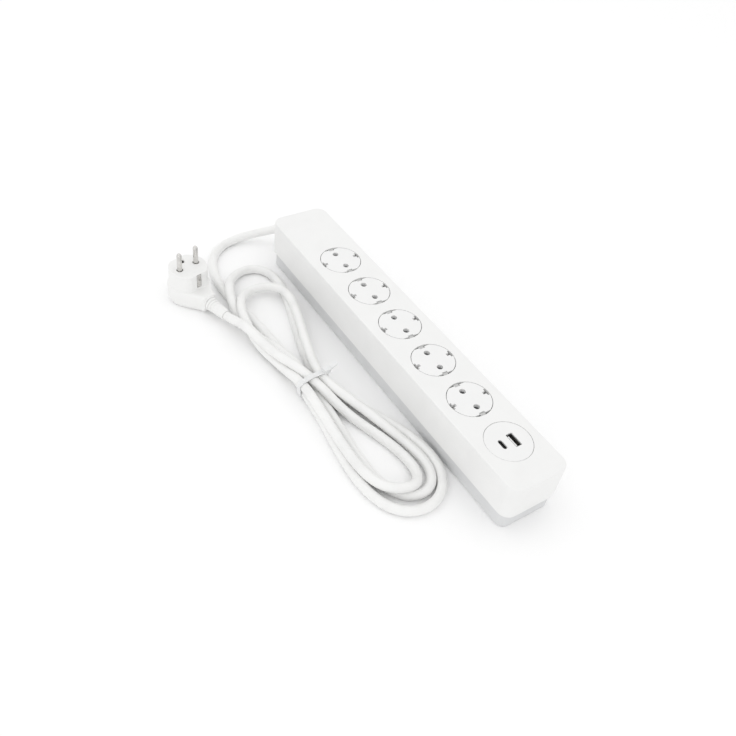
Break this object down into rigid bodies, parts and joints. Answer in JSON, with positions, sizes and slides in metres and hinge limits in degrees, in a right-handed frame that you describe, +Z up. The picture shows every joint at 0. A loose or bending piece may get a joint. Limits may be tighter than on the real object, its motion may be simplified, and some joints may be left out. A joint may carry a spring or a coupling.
{
  "type": "power strip",
  "caption": "Mains power strip with press-in earthed sockets, shuttered pin holes, a USB charger, a tied lead and an angled earthed plug.",
  "frame": {"origin": "middle of the strip's underside, on the surface it lies on, without the lead", "axes": "+X along the strip towards the USB charger, +Y across it, +Z up out of the socket faces"},
  "size_m": [0.4262, 0.1754, 0.055],
  "materials": {
    "white_shell": "satin, fine moulded grain",
    "white_face": "satin",
    "white_insert": "satin",
    "grey_base": "matt",
    "grey_shutter": "matt",
    "white_cord": "soft satin",
    "plug_white": "satin",
    "clear_tie": "translucent satin",
    "brass": "drawn",
    "nickel": "bright plated",
    "steel": "zinc plated",
    "black_plastic": "matt",
    "circuit_board": "solder mask",
    "transformer": "taped",
    "brown_wire": "satin",
    "blue_wire": "satin",
    "earth_wire": "satin"
  },
  "bodies": {
    "strip": {"top_housing": "white_shell", "base_plate": "grey_base", "cord_clamp": "white_shell", "cord_inner_end": "white_cord", "live_bar": "brass", "neutral_bar": "brass", "earth_bar": "brass", "live_wire": "brown_wire", "neutral_wire": "blue_wire", "earth_wire": "earth_wire", "usb_insert": "white_insert", "usb_a_shell": "nickel", "usb_c_shell": "nickel", "usb_a_tongue": "white_insert", "usb_c_tongue": "black_plastic", "usb_board": "circuit_board", "usb_transformer": "transformer", "usb_capacitor": "black_plastic", "cord_relief": "white_cord", "cord_tail": "white_cord", "cord_hank": "white_cord", "cable_tie": "clear_tie", "cord_to_plug": "white_cord", "plug_relief": "plug_white", "plug_body": "plug_white", "plug_pin_1": "nickel", "plug_pin_2": "nickel", "plug_earth_strap": "nickel", "case_screw_1": "steel", "case_screw_2": "steel", "case_screw_3": "steel", "case_screw_4": "steel", "case_screw_5": "steel", "case_screw_6": "steel", "socket_well_1": "white_shell", "face_spring_1": "steel", "earth_clip_1": "nickel", "socket_well_2": "white_shell", "face_spring_2": "steel", "earth_clip_2": "nickel", "socket_well_3": "white_shell", "face_spring_3": "steel", "earth_clip_3": "nickel", "socket_well_4": "white_shell", "face_spring_4": "steel", "earth_clip_4": "nickel", "socket_well_5": "white_shell", "face_spring_5": "steel", "earth_clip_5": "nickel"},
    "face_1": {"socket_face_1": "white_face"},
    "shutter_1": {"shutter_1": "grey_shutter"},
    "face_2": {"socket_face_2": "white_face"},
    "shutter_2": {"shutter_2": "grey_shutter"},
    "face_3": {"socket_face_3": "white_face"},
    "shutter_3": {"shutter_3": "grey_shutter"},
    "face_4": {"socket_face_4": "white_face"},
    "shutter_4": {"shutter_4": "grey_shutter"},
    "face_5": {"socket_face_5": "white_face"},
    "shutter_5": {"shutter_5": "grey_shutter"}
  },
  "joints": [
    {"name": "face_1_press", "type": "slide", "parent": "strip", "child": "face_1", "axis": [0, 0, -1], "range_m": [0, 0.0172], "stiffness_N_per_m": 300, "springref_m": -0.004, "deforming": ["face_spring_1"]},
    {"name": "shutter_1_turn", "type": "hinge", "parent": "face_1", "child": "shutter_1", "pos_m": [-0.1048, 0, 0.0475], "axis": [0, 0, 1], "range_deg": [0, 35], "stiffness_Nm_per_rad": 0.002, "springref_deg": -20.05},
    {"name": "face_2_press", "type": "slide", "parent": "strip", "child": "face_2", "axis": [0, 0, -1], "range_m": [0, 0.0172], "stiffness_N_per_m": 300, "springref_m": -0.004, "deforming": ["face_spring_2"]},
    {"name": "shutter_2_turn", "type": "hinge", "parent": "face_2", "child": "shutter_2", "pos_m": [-0.0543, 0, 0.0475], "axis": [0, 0, 1], "range_deg": [0, 35], "stiffness_Nm_per_rad": 0.002, "springref_deg": -20.05},
    {"name": "face_3_press", "type": "slide", "parent": "strip", "child": "face_3", "axis": [0, 0, -1], "range_m": [0, 0.0172], "stiffness_N_per_m": 300, "springref_m": -0.004, "deforming": ["face_spring_3"]},
    {"name": "shutter_3_turn", "type": "hinge", "parent": "face_3", "child": "shutter_3", "pos_m": [-0.0038, 0, 0.0475], "axis": [0, 0, 1], "range_deg": [0, 35], "stiffness_Nm_per_rad": 0.002, "springref_deg": -20.05},
    {"name": "face_4_press", "type": "slide", "parent": "strip", "child": "face_4", "axis": [0, 0, -1], "range_m": [0, 0.0172], "stiffness_N_per_m": 300, "springref_m": -0.004, "deforming": ["face_spring_4"]},
    {"name": "shutter_4_turn", "type": "hinge", "parent": "face_4", "child": "shutter_4", "pos_m": [0.0467, 0, 0.0475], "axis": [0, 0, 1], "range_deg": [0, 35], "stiffness_Nm_per_rad": 0.002, "springref_deg": -20.05},
    {"name": "face_5_press", "type": "slide", "parent": "strip", "child": "face_5", "axis": [0, 0, -1], "range_m": [0, 0.0172], "stiffness_N_per_m": 300, "springref_m": -0.004, "deforming": ["face_spring_5"]},
    {"name": "shutter_5_turn", "type": "hinge", "parent": "face_5", "child": "shutter_5", "pos_m": [0.0972, 0, 0.0475], "axis": [0, 0, 1], "range_deg": [0, 35], "stiffness_Nm_per_rad": 0.002, "springref_deg": -20.05}
  ]
}
